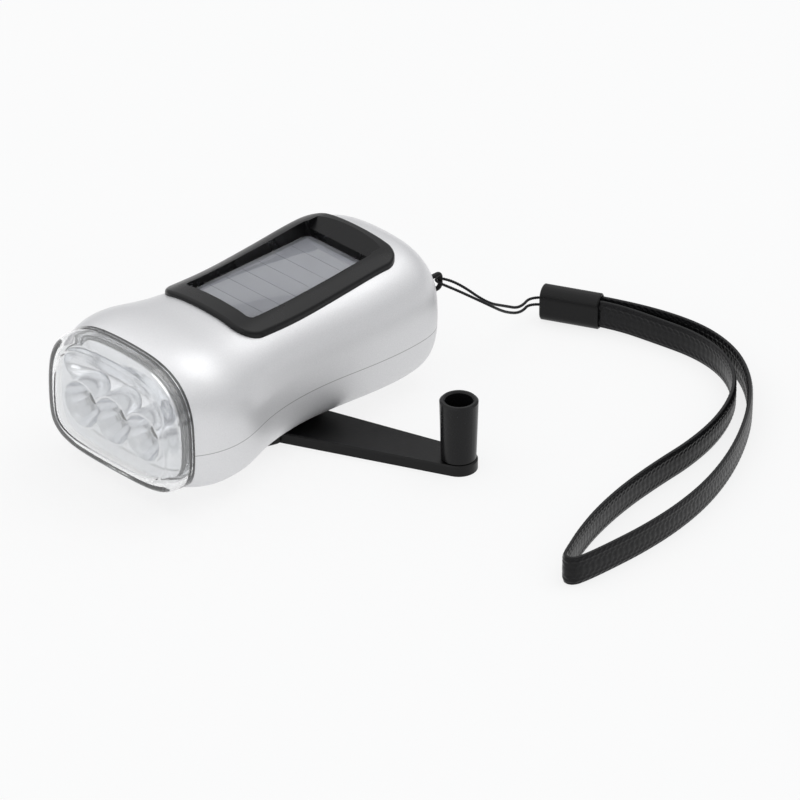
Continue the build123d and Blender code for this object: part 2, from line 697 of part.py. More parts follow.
shaft_z = HUB_TOP - HUB_WEB / 2
with BuildPart() as crank_shaft:
    with BuildSketch(Plane.XY.offset(shaft_z)):
        Circle(SHAFT_R)
    extrude(amount=COVER_TOP + 0.8 - shaft_z)
    with BuildSketch(Plane.XY.offset(shaft_z)):
        Circle(SHAFT_SCREW_R)
    extrude(amount=6.0, mode=Mode.SUBTRACT)
crank_shaft.part.label = "crank_shaft"

with BuildPart() as crank_arm:
    with BuildSketch(crank_plane):
        with BuildLine():
            lean = math.asin((ARM_HALF_ROOT - ARM_HALF_TIP) / (ARM_REACH - ARM_TAPER_FROM))
            tip_x = ARM_REACH + ARM_HALF_TIP * math.sin(lean)
            tip_y = ARM_HALF_TIP * math.cos(lean)
            Polyline((tip_x, -tip_y), (ARM_TAPER_FROM, -ARM_HALF_ROOT),
                     (-HINGE_BACK, -ARM_HALF_ROOT), (-HINGE_BACK, ARM_HALF_ROOT),
                     (ARM_TAPER_FROM, ARM_HALF_ROOT), (tip_x, tip_y))
            ThreePointArc((tip_x, tip_y), (ARM_REACH + ARM_HALF_TIP, 0), (tip_x, -tip_y))
        make_face()
    extrude(amount=ARM_T)
    chamfer(crank_arm.edges().group_by(Axis.Z)[-1], 0.35)
    # rounded hinge end
    with BuildSketch(hinge_plane.offset(-ARM_HALF_ROOT)):
        Circle(ARM_T / 2)
    extrude(amount=2 * ARM_HALF_ROOT)
    with BuildSketch(hinge_plane.offset(-HUB_R)):
        Circle(HINGE_R + FIT)
    extrude(amount=2 * HUB_R, mode=Mode.SUBTRACT)
    with BuildSketch(Plane.XY):
        with Locations(KNOB_AT):
            Circle(KNOB_PIN_R)
    extrude(amount=ARM_T, mode=Mode.SUBTRACT)
crank_arm.part.label = "crank_arm"

with BuildPart() as hinge_pin:
    with BuildSketch(hinge_plane.offset(-(chord_half - 0.4))):
        Circle(HINGE_R)
    extrude(amount=2 * (chord_half - 0.4))
hinge_pin.part.label = "hinge_pin"

knob_z = ARM_T + GAP
knob_plane = Plane((KNOB_AT[0], KNOB_AT[1], 0), x_dir=(1, 0, 0), z_dir=(0, -1, 0))
with BuildPart() as crank_knob:
    with BuildSketch(knob_plane):
        with BuildLine():
            Polyline((KNOB_PIN_R + FIT, knob_z), (KNOB_R_LOW, knob_z),
                     (KNOB_R_TOP, knob_z + KNOB_H - 0.5), (KNOB_R_TOP - 0.5, knob_z + KNOB_H),
                     (KNOB_BORE_R + 0.4, knob_z + KNOB_H), (KNOB_BORE_R, knob_z + KNOB_H - 0.4),
                     (KNOB_BORE_R, knob_z + KNOB_WEB), (KNOB_PIN_R + FIT, knob_z + KNOB_WEB),
                     close=True)
        make_face()
    revolve(axis=Axis((KNOB_AT[0], KNOB_AT[1], 0), (0, 0, 1)))
crank_knob.part.label = "crank_knob"

with BuildPart() as knob_pin:
    with BuildSketch(Plane.XY):
        with Locations(KNOB_AT):
            Circle(KNOB_PIN_R)
    extrude(amount=knob_z + KNOB_WEB + 0.15)
    with BuildSketch(Plane.XY.offset(knob_z + KNOB_WEB + 0.15)):
        with Locations(KNOB_AT):
            Circle(KNOB_PIN_HEAD_R)
    extrude(amount=KNOB_PIN_HEAD_T)
knob_pin.part.label = "knob_pin"


# ---- gears --------------------------------------------------------------------
def tooth_points(teeth, turn):
    """Corners of a stub involute gear with one tooth centred at turn degrees."""
    pitch_r = MODULE * teeth / 2
    base_r = pitch_r * math.cos(math.radians(PRESSURE))
    tip_r = pitch_r + ADDENDUM * MODULE
    root_r = pitch_r - DEDENDUM * MODULE
    half = (math.pi * MODULE / 2 - TOOTH_SLACK) / (2 * pitch_r)

    def inv(r):
        a = math.acos(min(1.0, base_r / r))
        return math.tan(a) - a

    flank = []
    start_r = max(base_r, root_r)
    for k in range(4):
        r = start_r + (tip_r - start_r) * k / 3
        flank.append((r, half + inv(pitch_r) - inv(r)))
    if root_r < base_r:
        flank.insert(0, (root_r, half + inv(pitch_r)))
    points = []
    for i in range(teeth):
        centre = math.radians(turn) + 2 * math.pi * i / teeth
        for r, a in flank:
            points.append((r * math.cos(centre - a), r * math.sin(centre - a)))
        for r, a in reversed(flank):
            points.append((r * math.cos(centre + a), r * math.sin(centre + a)))
    return points


def gear_face(teeth, turn):
    """Gear outline at the sketch's own origin, for use in a sketch."""
    Polygon(*tooth_points(teeth, turn), align=None)


def in_gap(teeth, direction):
    """Turn that puts a tooth gap at the given direction."""
    return direction + 180.0 / teeth


def at(centre, z):
    return Plane((centre[0], centre[1], z), x_dir=(1, 0, 0), z_dir=(0, 0, 1))


with BuildPart() as drive_gear:
    with BuildSketch(at(DRIVE_AT, LEVEL_A)):
        gear_face(DRIVE_TEETH, IDLER_1_AT)
    extrude(amount=GEAR_T)
    with BuildSketch(at(DRIVE_AT, LEVEL_0 + 0.2)):
        Circle(2.2 * SHAFT_R)
    extrude(amount=COVER_Z - LEVEL_0 - 0.4)
    with BuildSketch(at(DRIVE_AT, LEVEL_A)):
        with PolarLocations(10.4, 5):
            Circle(2.6)
    extrude(amount=GEAR_T, mode=Mode.SUBTRACT)
    with BuildSketch(at(DRIVE_AT, LEVEL_0)):
        Circle(SHAFT_R)
    extrude(amount=COVER_Z - LEVEL_0, mode=Mode.SUBTRACT)
drive_gear.part.label = "drive_gear"

with BuildPart() as idler_gear_1:
    with BuildSketch(at(IDLER_1, LEVEL_0 + 0.2)):
        Circle(2.6)
    extrude(amount=COVER_Z - LEVEL_0 - 0.4)
    with BuildSketch(at(IDLER_1, LEVEL_A - 0.1)):
        gear_face(PINION_TEETH, in_gap(PINION_TEETH, IDLER_1_AT + 180))
    extrude(amount=GEAR_T + GEAR_STEP + 0.1)
    with BuildSketch(at(IDLER_1, LEVEL_B)):
        gear_face(IDLER_1_TEETH, IDLER_2_AT)
    extrude(amount=GEAR_T)
    with BuildSketch(at(IDLER_1, LEVEL_0)):
        Circle(AXLE_R + FIT)
    extrude(amount=COVER_Z - LEVEL_0, mode=Mode.SUBTRACT)
idler_gear_1.part.label = "idler_gear_1"

with BuildPart() as idler_gear_2:
    with BuildSketch(at(IDLER_2, LEVEL_0 + 0.2)):
        Circle(2.6)
    extrude(amount=COVER_Z - LEVEL_0 - 0.4)
    with BuildSketch(at(IDLER_2, LEVEL_B - 0.1)):
        gear_face(PINION_TEETH, in_gap(PINION_TEETH, IDLER_2_AT + 180))
    extrude(amount=GEAR_T + GEAR_STEP + 0.1)
    with BuildSketch(at(IDLER_2, LEVEL_C)):
        gear_face(IDLER_2_TEETH, ROTOR_AT)
    extrude(amount=GEAR_T)
    with BuildSketch(at(IDLER_2, LEVEL_0)):
        Circle(AXLE_R + FIT)
    extrude(amount=COVER_Z - LEVEL_0, mode=Mode.SUBTRACT)
idler_gear_2.part.label = "idler_gear_2"

with BuildPart() as rotor_pinion:
    with BuildSketch(at(ROTOR, LEVEL_C - 0.2)):
        gear_face(PINION_TEETH, in_gap(PINION_TEETH, ROTOR_AT + 180))
        Circle(ROTOR_SHAFT_R, mode=Mode.SUBTRACT)
    extrude(amount=GEAR_T + 0.4)
rotor_pinion.part.label = "rotor_pinion"

magnet_z = LEVEL_0 + STATOR_T + 0.2
magnet_h = LEVEL_C - 1.2 - magnet_z
with BuildPart() as magnet_rotor:
    with BuildSketch(at(ROTOR, magnet_z)):
        Circle(MAGNET_R)
        Circle(ROTOR_SHAFT_R, mode=Mode.SUBTRACT)
    extrude(amount=magnet_h)
magnet_rotor.part.label = "magnet_rotor"

with BuildPart() as rotor_shaft:
    with BuildSketch(at(ROTOR, PLATE_Z + 0.1)):
        Circle(ROTOR_SHAFT_R)
    extrude(amount=COVER_TOP - PLATE_Z - 0.2)
rotor_shaft.part.label = "rotor_shaft"

stator_h = LEVEL_C - 0.7 - LEVEL_0
rotor_section = Plane((ROTOR[0], ROTOR[1], 0), x_dir=(1, 0, 0), z_dir=(0, -1, 0))
rotor_axis = Axis((ROTOR[0], ROTOR[1], 0), (0, 0, 1))
stator_in = MAGNET_R + 2 * GAP
with BuildPart() as stator:
    with BuildSketch(rotor_section):
        with Locations(((stator_in + STATOR_R) / 2, LEVEL_0 + stator_h / 2)):
            Rectangle(STATOR_R - stator_in, stator_h)
        with Locations(((stator_in + STATOR_R - STATOR_T) / 2, LEVEL_0 + stator_h / 2)):
            Rectangle(STATOR_R - STATOR_T - stator_in, stator_h - 2 * STATOR_T, mode=Mode.SUBTRACT)
    revolve(axis=rotor_axis)
stator.part.label = "stator"

with BuildPart() as stator_coil:
    with BuildSketch(rotor_section):
        with Locations(((stator_in + STATOR_R - STATOR_T) / 2, LEVEL_0 + stator_h / 2)):
            Rectangle(STATOR_R - STATOR_T - stator_in, stator_h - 2 * STATOR_T)
    revolve(axis=rotor_axis)
stator_coil.part.label = "stator_coil"

with BuildPart() as gear_axles:
    with BuildSketch(Plane.XY.offset(PLATE_Z)):
        with Locations(IDLER_1, IDLER_2):
            Circle(AXLE_R)
    extrude(amount=COVER_TOP - PLATE_Z)
gear_axles.part.label = "gear_axles"


def plate_outline():
    """Gear plate outline with the shafts' holes, for use in a sketch."""
    with Locations((0, (PLATE_REAR - PLATE_FRONT) / 2)):
        Rectangle(2 * PLATE_HALF_X, PLATE_REAR + PLATE_FRONT)
    with Locations(*CASE_SCREWS[2:]):
        Circle(CASE_BOSS_R + GAP, mode=Mode.SUBTRACT)
    Circle(SHAFT_R + FIT, mode=Mode.SUBTRACT)
    with Locations(IDLER_1, IDLER_2):
        Circle(AXLE_R, mode=Mode.SUBTRACT)
    with Locations(ROTOR):
        Circle(ROTOR_SHAFT_R + FIT, mode=Mode.SUBTRACT)


with BuildPart() as gear_frame:
    with BuildSketch(Plane.XY.offset(PLATE_Z)):
        plate_outline()
    extrude(amount=PLATE_T)
    add(frame_form, mode=Mode.INTERSECT)
    with BuildSketch(Plane.XY.offset(PLATE_Z)):
        with Locations(*PILLARS):
            Circle(PILLAR_R)
    extrude(amount=COVER_Z - PLATE_Z)
    with BuildSketch(Plane.XY.offset(PLATE_Z)):
        with Locations(*PILLARS):
            Circle(SMALL_SCREW_R)
    extrude(amount=COVER_Z - PLATE_Z, mode=Mode.SUBTRACT)
gear_frame.part.label = "gear_frame"

with BuildPart() as gear_cover:
    with BuildSketch(Plane.XY.offset(COVER_Z)):
        plate_outline()
        with Locations(*PILLARS):
            Circle(SMALL_SCREW_R, mode=Mode.SUBTRACT)
    extrude(amount=PLATE_T)
    add(frame_form, mode=Mode.INTERSECT)
gear_cover.part.label = "gear_cover"

with BuildPart() as gear_screws:
    with BuildSketch(Plane.XY.offset(COVER_TOP)):
        with Locations(*PILLARS):
            Circle(SMALL_SCREW_HEAD_R)
    extrude(amount=SMALL_SCREW_HEAD_T)
    with BuildSketch(Plane.XY.offset(COVER_TOP)):
        with Locations(*PILLARS):
            Circle(SMALL_SCREW_R)
    extrude(amount=-(COVER_TOP - FLOOR_Z - 1.4))
gear_screws.part.label = "gear_screws"

# ---- cells, board and switch --------------------------------------------------
cell_z = UNDER + CELL_Z
stack = CELL_COUNT * CELL_L
with BuildPart() as battery_cells:
    with BuildSketch(Plane((-stack / 2, CELL_Y, cell_z), x_dir=(0, 1, 0), z_dir=(1, 0, 0))):
        Circle(CELL_R)
    extrude(amount=stack)
    for k in range(1, CELL_COUNT):
        seam = Plane((-stack / 2 + k * CELL_L - 0.15, CELL_Y, cell_z),
                     x_dir=(0, 1, 0), z_dir=(1, 0, 0))
        with BuildSketch(seam):
            Circle(CELL_R)
            Circle(CELL_R - 0.5, mode=Mode.SUBTRACT)
        extrude(amount=0.3, mode=Mode.SUBTRACT)
battery_cells.part.label = "battery_cells"

with BuildPart() as battery_sleeve:
    with BuildSketch(Plane((-stack / 2, CELL_Y, cell_z), x_dir=(0, 1, 0), z_dir=(1, 0, 0))):
        Circle(CELL_R + SLEEVE_T)
        Circle(CELL_R, mode=Mode.SUBTRACT)
    extrude(amount=stack)
battery_sleeve.part.label = "battery_sleeve"

with BuildPart() as battery_cradle:
    with BuildSketch(Plane.XY.offset(FLOOR_Z + SEAT)):
        with Locations((0, CELL_Y)):
            Rectangle(stack + 2 * CRADLE_WALL, 2 * CELL_R)
    extrude(amount=cell_z + CRADLE_ABOVE - FLOOR_Z - SEAT)
    cradle_axis = Plane((-stack / 2 - 0.1, CELL_Y, cell_z), x_dir=(0, 1, 0), z_dir=(1, 0, 0))
    with BuildSketch(cradle_axis):
        Circle(CELL_R + SLEEVE_T + FIT)
        with Locations((0, CELL_R)):
            Rectangle(2 * (CELL_R + SLEEVE_T), 2 * CELL_R)
    extrude(amount=stack + 0.2, mode=Mode.SUBTRACT)
    with BuildSketch(Plane.XY.offset(FLOOR_Z)):
        Circle(HUB_R + 2 * GAP + WALL + SEAT)
    extrude(amount=POCKET_Z + WALL + SEAT - FLOOR_Z, mode=Mode.SUBTRACT)
battery_cradle.part.label = "battery_cradle"

with BuildPart() as main_board:
    with BuildSketch(Plane.XY.offset(board_z)):
        with Locations((0, (BOARD_Y0 + BOARD_Y1) / 2)):
            Rectangle(2 * BOARD_HALF_X, BOARD_Y1 - BOARD_Y0)
        with Locations(*BOARD_POSTS):
            Circle(SMALL_SCREW_R, mode=Mode.SUBTRACT)
    extrude(amount=BOARD_T)
main_board.part.label = "main_board"

with BuildPart() as board_screws:
    with BuildSketch(Plane.XY.offset(board_z)):
        with Locations(*BOARD_POSTS):
            Circle(1.6)
    extrude(amount=-1.2)
    with BuildSketch(Plane.XY.offset(board_z)):
        with Locations(*BOARD_POSTS):
            Circle(SMALL_SCREW_R)
    extrude(amount=BOARD_T + 3.0)
board_screws.part.label = "board_screws"

with BuildPart() as board_capacitor:
    with BuildSketch(Plane((-6, 15, board_z + BOARD_T + 2.5), x_dir=(1, 0, 0), z_dir=(0, 1, 0))):
        Circle(2.5)
    extrude(amount=9)
board_capacitor.part.label = "board_capacitor"

with BuildPart() as board_chips:
    with BuildSketch(Plane.XY.offset(board_z + BOARD_T)):
        with Locations((5, 2), (5, 12)):
            Rectangle(6, 5)
        with Locations((-8, 0), (-4, 0), (-8, 6), (-4, 6)):
            Rectangle(2.2, 3.6)
    extrude(amount=1.6)
board_chips.part.label = "board_chips"

switch_x = -(SWITCH_POCKET_X + GAP)
with BuildPart() as switch_slider:
    with BuildSketch(Plane.YZ.offset(switch_x)):
        with Locations((SWITCH_Y, switch_z)):
            RectangleRounded(SWITCH_CAP[1], SWITCH_CAP[2], 1.0)
    extrude(amount=-SWITCH_CAP[0])
    with BuildSketch(Plane.YZ.offset(switch_x - SWITCH_CAP[0])):
        with Locations((SWITCH_Y - 1.6, switch_z), (SWITCH_Y, switch_z), (SWITCH_Y + 1.6, switch_z)):
            Rectangle(0.7, SWITCH_CAP[2] - 1.0)
    extrude(amount=-0.4)
    with BuildSketch(Plane.YZ.offset(switch_x)):
        with Locations((SWITCH_Y, switch_z)):
            Rectangle(*SWITCH_STEM)
    extrude(amount=-switch_x - SWITCH_STEM_IN)
switch_slider.part.label = "switch_slider"

with BuildPart() as switch_body:
    with BuildSketch(Plane.YZ.offset(-(SWITCH_STEM_IN + 0.8))):
        with Locations((switch_mid, (switch_z + board_z) / 2 - 1.0)):
            Rectangle(9.0, board_z - switch_z + 2.0)
    extrude(amount=3.6)
    with BuildSketch(Plane.YZ.offset(-(SWITCH_STEM_IN + 0.8))):
        with Locations((switch_mid, switch_z)):
            Rectangle(SWITCH_STEM[0] + SWITCH_TRAVEL + 2 * GAP, SWITCH_STEM[1] + GAP)
    extrude(amount=0.8 + GAP, mode=Mode.SUBTRACT)
switch_body.part.label = "switch_body"

# ---- strap --------------------------------------------------------------------
with BuildPart() as strap_eye:
    with BuildLine() as eye_line:
        FilletPolyline((EYE_X, EYE_Y - 9.4, eye_legs[0]), (EYE_X, EYE_Y, eye_legs[0]),
                       (EYE_X, EYE_Y, eye_legs[1]), (EYE_X, EYE_Y - 9.4, eye_legs[1]),
                       radius=EYE_BEND)
    with BuildSketch(across(EYE_Y - 9.4)):
        with Locations((EYE_X, eye_legs[0])):
            Circle(EYE_WIRE_R)
    sweep()
strap_eye.part.label = "strap_eye"


def corner_radii(points, tight=()):
    """0.45 of the shorter run over the tangent of half the turn, at each corner."""
    radii = []
    for k in range(1, len(points) - 1):
        a = Vector(*points[k]) - Vector(*points[k - 1])
        b = Vector(*points[k + 1]) - Vector(*points[k])
        turn = math.radians(a.get_angle(b))
        r = 0.45 * min(a.length, b.length) / math.tan(turn / 2)
        radii.append(dict(tight).get(k, r))
    return radii


bead_ax = (math.cos(math.radians(BEAD_ANGLE)), math.sin(math.radians(BEAD_ANGLE)))
bead_nx = (-bead_ax[1], bead_ax[0])


def on_bead(along, side, z):
    """Point measured from the bead's thread end."""
    return (BEAD_START[0] + along * bead_ax[0] + side * bead_nx[0],
            BEAD_START[1] + along * bead_ax[1] + side * bead_nx[1], z)


# the thread runs from the bead to the eye, round its bar and back
leave = (0.906, 0.423)
side = (-leave[1], leave[0])


def by_eye(along, across_, z):
    return (EYE_X + along * leave[0] + across_ * side[0],
            EYE_Y + along * leave[1] + across_ * side[1], z)


THREAD_ROUTE = [
    on_bead(5.0, -0.9, 4.7),
    on_bead(-3.0, -0.9, 4.7),
    (20.9, 80.2, 7.4),
    (24.6, 70.6, 13.0),
    (27.0, 62.4, 19.4),
    by_eye(5.2, -THREAD_TURN, 24.0),
    by_eye(-THREAD_TURN, -THREAD_TURN, EYE_Z),
    by_eye(-THREAD_TURN, THREAD_TURN, EYE_Z),
    by_eye(4.6, THREAD_TURN, 24.9),
    (25.2, 63.0, 19.2),
    (23.4, 71.4, 14.2),
    (19.4, 81.4, 7.7),
    on_bead(-3.2, 0.9, 5.9),
    on_bead(5.0, 0.9, 5.9),
]
thread_radii = corner_radii(THREAD_ROUTE, {6: THREAD_TURN - 0.03, 7: THREAD_TURN - 0.03}.items())

with BuildPart() as strap_thread:
    with BuildLine():
        FilletPolyline(*THREAD_ROUTE, radius=thread_radii)
    with BuildSketch(Plane(THREAD_ROUTE[0], z_dir=Vector(*THREAD_ROUTE[1]) - Vector(*THREAD_ROUTE[0]))):
        Circle(THREAD_R)
    sweep()
strap_thread.part.label = "strap_thread"

bead_plane = Plane((BEAD_START[0], BEAD_START[1], BEAD_H / 2),
                   x_dir=(bead_nx[0], bead_nx[1], 0), z_dir=(bead_ax[0], bead_ax[1], 0))
with BuildPart() as strap_bead:
    with BuildSketch(bead_plane):
        RectangleRounded(BEAD_W, BEAD_H, BEAD_W / 2 - 0.3)
    extrude(amount=BEAD_L)
    chamfer(strap_bead.edges().filter_by(Plane(bead_plane.origin, z_dir=bead_plane.z_dir)), 0.3)
    with BuildSketch(bead_plane):
        RectangleRounded(BEAD_SLOT_W, BEAD_SLOT_H, 0.7)
    extrude(amount=BEAD_L, mode=Mode.SUBTRACT)
strap_bead.part.label = "strap_bead"

# the flat tape stands on its edge; the route is its centre line
STRAP_ROUTE = [
    on_bead(BEAD_L - 5, -STRAP_HALF_GAP, BEAD_H / 2),
    on_bead(BEAD_L + 4, -STRAP_HALF_GAP, BEAD_H / 2),
    (48.5, 103.2, STRAP_LIE + 0.2),
    (61.0, 105.4, STRAP_LIE),
    (72.2, 103.6, STRAP_LIE),
    (81.8, 98.0, STRAP_LIE),
    (89.0, 89.4, STRAP_LIE),
    (94.4, 77.6, STRAP_LIE),
    (97.4, 64.4, STRAP_LIE),
    (98.4, 50.6, STRAP_LIE),
    (100.2, 36.6, STRAP_LIE),
    (103.4, 23.4, STRAP_LIE),
    (107.2, 13.2, STRAP_LIE),
    (110.4, 6.4, STRAP_LIE),
    (112.7, 1.7, STRAP_LIE),
    (115.6, 2.3, STRAP_LIE),
    (116.4, 6.8, STRAP_LIE),
    (116.9, 14.0, STRAP_LIE),
    (117.3, 25.4, STRAP_LIE),
    (116.5, 38.4, STRAP_LIE),
    (114.0, 51.8, STRAP_LIE),
    (109.5, 64.8, STRAP_LIE),
    (103.3, 77.2, STRAP_LIE),
    (95.4, 89.2, STRAP_LIE),
    (86.0, 99.4, STRAP_LIE),
    (74.8, 106.6, STRAP_LIE),
    (62.0, 109.6, STRAP_LIE),
    (49.0, 107.8, STRAP_LIE + 0.2),
    on_bead(BEAD_L + 4, STRAP_HALF_GAP, BEAD_H / 2),
    on_bead(BEAD_L - 5, STRAP_HALF_GAP, BEAD_H / 2),
]
strap_radii = corner_radii(STRAP_ROUTE)

with BuildPart() as wrist_strap:
    with BuildLine():
        FilletPolyline(*STRAP_ROUTE, radius=strap_radii)
    with BuildSketch(Plane(STRAP_ROUTE[0], x_dir=(0, 0, 1),
                           z_dir=Vector(*STRAP_ROUTE[1]) - Vector(*STRAP_ROUTE[0]))):
        RectangleRounded(STRAP_W, STRAP_T, 0.45)
    sweep()
wrist_strap.part.label = "wrist_strap"


# ---- output -------------------------------------------------------------------
pieces = [
    upper_shell, lower_shell, case_screws, lens_cover, reflector, led_board, led_screws,
    solar_bezel, solar_substrate, solar_cells, solar_coat,
    crank_hub, shaft_screw, crank_shaft, crank_arm, hinge_pin, crank_knob, knob_pin,
    drive_gear, idler_gear_1, idler_gear_2, rotor_pinion, magnet_rotor, rotor_shaft,
    stator, stator_coil, gear_axles, gear_frame, gear_cover, gear_screws,
    battery_cells, battery_sleeve, battery_cradle, main_board, board_screws,
    board_capacitor, board_chips, switch_slider, switch_body,
    strap_eye, strap_thread, strap_bead, wrist_strap,
]
for piece in [p.part for p in pieces] + leds:
    export_step(piece, f"parts/{piece.label}.step")
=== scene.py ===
import json
import math

import bpy
from mathutils import Matrix, Vector


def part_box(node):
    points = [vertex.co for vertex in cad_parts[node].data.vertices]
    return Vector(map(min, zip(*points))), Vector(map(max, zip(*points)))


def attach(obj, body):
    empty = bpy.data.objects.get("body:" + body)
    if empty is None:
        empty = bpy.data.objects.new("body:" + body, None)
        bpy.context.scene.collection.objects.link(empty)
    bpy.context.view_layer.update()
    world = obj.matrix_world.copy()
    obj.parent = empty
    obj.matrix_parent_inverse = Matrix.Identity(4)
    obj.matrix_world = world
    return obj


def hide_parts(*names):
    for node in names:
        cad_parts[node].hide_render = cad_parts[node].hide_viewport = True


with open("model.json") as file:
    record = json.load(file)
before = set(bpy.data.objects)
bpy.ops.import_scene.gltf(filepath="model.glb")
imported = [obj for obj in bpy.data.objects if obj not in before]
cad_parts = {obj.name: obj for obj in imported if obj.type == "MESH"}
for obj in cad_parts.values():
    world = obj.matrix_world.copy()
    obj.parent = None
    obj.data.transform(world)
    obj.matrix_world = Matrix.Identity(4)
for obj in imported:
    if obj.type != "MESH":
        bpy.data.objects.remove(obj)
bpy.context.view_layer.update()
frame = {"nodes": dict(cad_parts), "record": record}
nodes = frame["nodes"]
scene = bpy.context.scene
MM = 0.001

# ---- camera -------------------------------------------------------------------
# Fitted to the photograph: azimuth, elevation, distance and the long lens' focal length,
# and how far the view's middle lies from the row's origin, along the picture's axes.
PHOTO_PX = 800
FOCAL_PX = 5745
CAMERA_AZ, CAMERA_EL = 45.5, 31.0
CAMERA_DISTANCE = 1.5
VIEW_MIDDLE = Vector((0, 4.5 * MM, 0))
VIEW_RIGHT, VIEW_UP = 36.475 * MM, 2.872 * MM


def aim_camera():
    az, el = math.radians(CAMERA_AZ), math.radians(CAMERA_EL)
    back = Vector((math.sin(az) * math.cos(el), -math.cos(az) * math.cos(el), math.sin(el)))
    right = Vector((math.cos(az), math.sin(az), 0))
    up = back.cross(right)
    data = bpy.data.cameras.new("camera")
    data.sensor_width = 36
    data.lens = FOCAL_PX / PHOTO_PX * data.sensor_width
    data.clip_start, data.clip_end = 0.05, 20
    camera = bpy.data.objects.new("camera", data)
    scene.collection.objects.link(camera)
    camera.location = VIEW_MIDDLE + right * VIEW_RIGHT + up * VIEW_UP + back * CAMERA_DISTANCE
    camera.rotation_euler = Matrix((right, up, back)).transposed().to_euler()
    scene.camera = camera


aim_camera()

# ---- cord routes --------------------------------------------------------------
# The points are those of the solids' routes, in millimetres.
EYE = Vector((15.6, 55.1, 25.5))
THREAD_D = 0.8
THREAD_TURN = 1.15
BEAD_START = Vector((17.6, 91.9, 0))
BEAD_ANGLE = 26.0
BEAD_L, BEAD_H = 16.4, 10.0
STRAP_W, STRAP_T = 8.0, 1.2
STRAP_GAP = 1.15
STRAP_LIE = 4.05         # height of the tape's middle where it stands on its edge

bead_along = Vector((math.cos(math.radians(BEAD_ANGLE)), math.sin(math.radians(BEAD_ANGLE)), 0))
bead_side = Vector((-bead_along.y, bead_along.x, 0))
leave = Vector((0.906, 0.423, 0))
leave_side = Vector((-leave.y, leave.x, 0))


def on_bead(along, side, z):
    return tuple(BEAD_START + bead_along * along + bead_side * side + Vector((0, 0, z)))


def by_eye(along, side, z):
    p = EYE + leave * along + leave_side * side
    return (p.x, p.y, z)


THREAD_ROUTE = [
    on_bead(5.0, -0.9, 4.7),
    on_bead(-3.0, -0.9, 4.7),
    (20.9, 80.2, 7.4),
    (24.6, 70.6, 13.0),
    (27.0, 62.4, 19.4),
    by_eye(5.2, -THREAD_TURN, 24.0),
    by_eye(-THREAD_TURN, -THREAD_TURN, EYE.z),
    by_eye(-THREAD_TURN, THREAD_TURN, EYE.z),
    by_eye(4.6, THREAD_TURN, 24.9),
    (25.2, 63.0, 19.2),
    (23.4, 71.4, 14.2),
    (19.4, 81.4, 7.7),
    on_bead(-3.2, 0.9, 5.9),
    on_bead(5.0, 0.9, 5.9),
]

STRAP_ROUTE = [
    on_bead(BEAD_L - 5, -STRAP_GAP, BEAD_H / 2),
    on_bead(BEAD_L + 4, -STRAP_GAP, BEAD_H / 2),
    (48.5, 103.2, STRAP_LIE + 0.2),
    (61.0, 105.4, STRAP_LIE),
    (72.2, 103.6, STRAP_LIE),
    (81.8, 98.0, STRAP_LIE),
    (89.0, 89.4, STRAP_LIE),
    (94.4, 77.6, STRAP_LIE),
    (97.4, 64.4, STRAP_LIE),
    (98.4, 50.6, STRAP_LIE),
    (100.2, 36.6, STRAP_LIE),
    (103.4, 23.4, STRAP_LIE),
    (107.2, 13.2, STRAP_LIE),
    (110.4, 6.4, STRAP_LIE),
    (112.7, 1.7, STRAP_LIE),
    (115.6, 2.3, STRAP_LIE),
    (116.4, 6.8, STRAP_LIE),
    (116.9, 14.0, STRAP_LIE),
    (117.3, 25.4, STRAP_LIE),
    (116.5, 38.4, STRAP_LIE),
    (114.0, 51.8, STRAP_LIE),
    (109.5, 64.8, STRAP_LIE),
    (103.3, 77.2, STRAP_LIE),
    (95.4, 89.2, STRAP_LIE),
    (86.0, 99.4, STRAP_LIE),
    (74.8, 106.6, STRAP_LIE),
    (62.0, 109.6, STRAP_LIE),
    (49.0, 107.8, STRAP_LIE + 0.2),
    on_bead(BEAD_L + 4, STRAP_GAP, BEAD_H / 2),
    on_bead(BEAD_L - 5, STRAP_GAP, BEAD_H / 2),
]


def smooth_line(route, steps):
    """Points in metres along the NURBS line that has the route as its control points."""
    curve = bpy.data.curves.new("line", "CURVE")
    curve.dimensions = "3D"
    spline = curve.splines.new("NURBS")
    spline.points.add(len(route) - 1)
    for point, p in zip(spline.points, route):
        point.co = (p[0] * MM, p[1] * MM, p[2] * MM, 1)
    spline.order_u = 3
    spline.use_endpoint_u = True
    spline.resolution_u = steps
    obj = bpy.data.objects.new("line", curve)
    scene.collection.objects.link(obj)
    mesh = bpy.data.meshes.new_from_object(obj)
    points = [v.co.copy() for v in mesh.vertices]
    bpy.data.objects.remove(obj)
    bpy.data.curves.remove(curve)
    bpy.data.meshes.remove(mesh)
    return points


def length_of(points):
    return sum((b - a).length for a, b in zip(points, points[1:]))


def evenly(points, step):
    """The line's points at even steps, its ends included."""
    count = max(2, round(length_of(points) / step))
    spacing = length_of(points) / count
    out, travelled, due = [points[0].copy()], 0.0, spacing
    for a, b in zip(points, points[1:]):
        run = (b - a).length
        while due <= travelled + run + 1e-12 and len(out) < count:
            out.append(a.lerp(b, (due - travelled) / run))
            due += spacing
        travelled += run
    out.append(points[-1].copy())
    return out


def tangents(points):
    last = len(points) - 1
    return [(points[min(i + 1, last)] - points[max(i - 1, 0)]).normalized() for i in range(last + 1)]


def add_object(name, mesh, smooth=True):
    obj = bpy.data.objects.new(name, mesh)
    scene.collection.objects.link(obj)
    if smooth:
        for polygon in mesh.polygons:
            polygon.use_smooth = True
    return obj


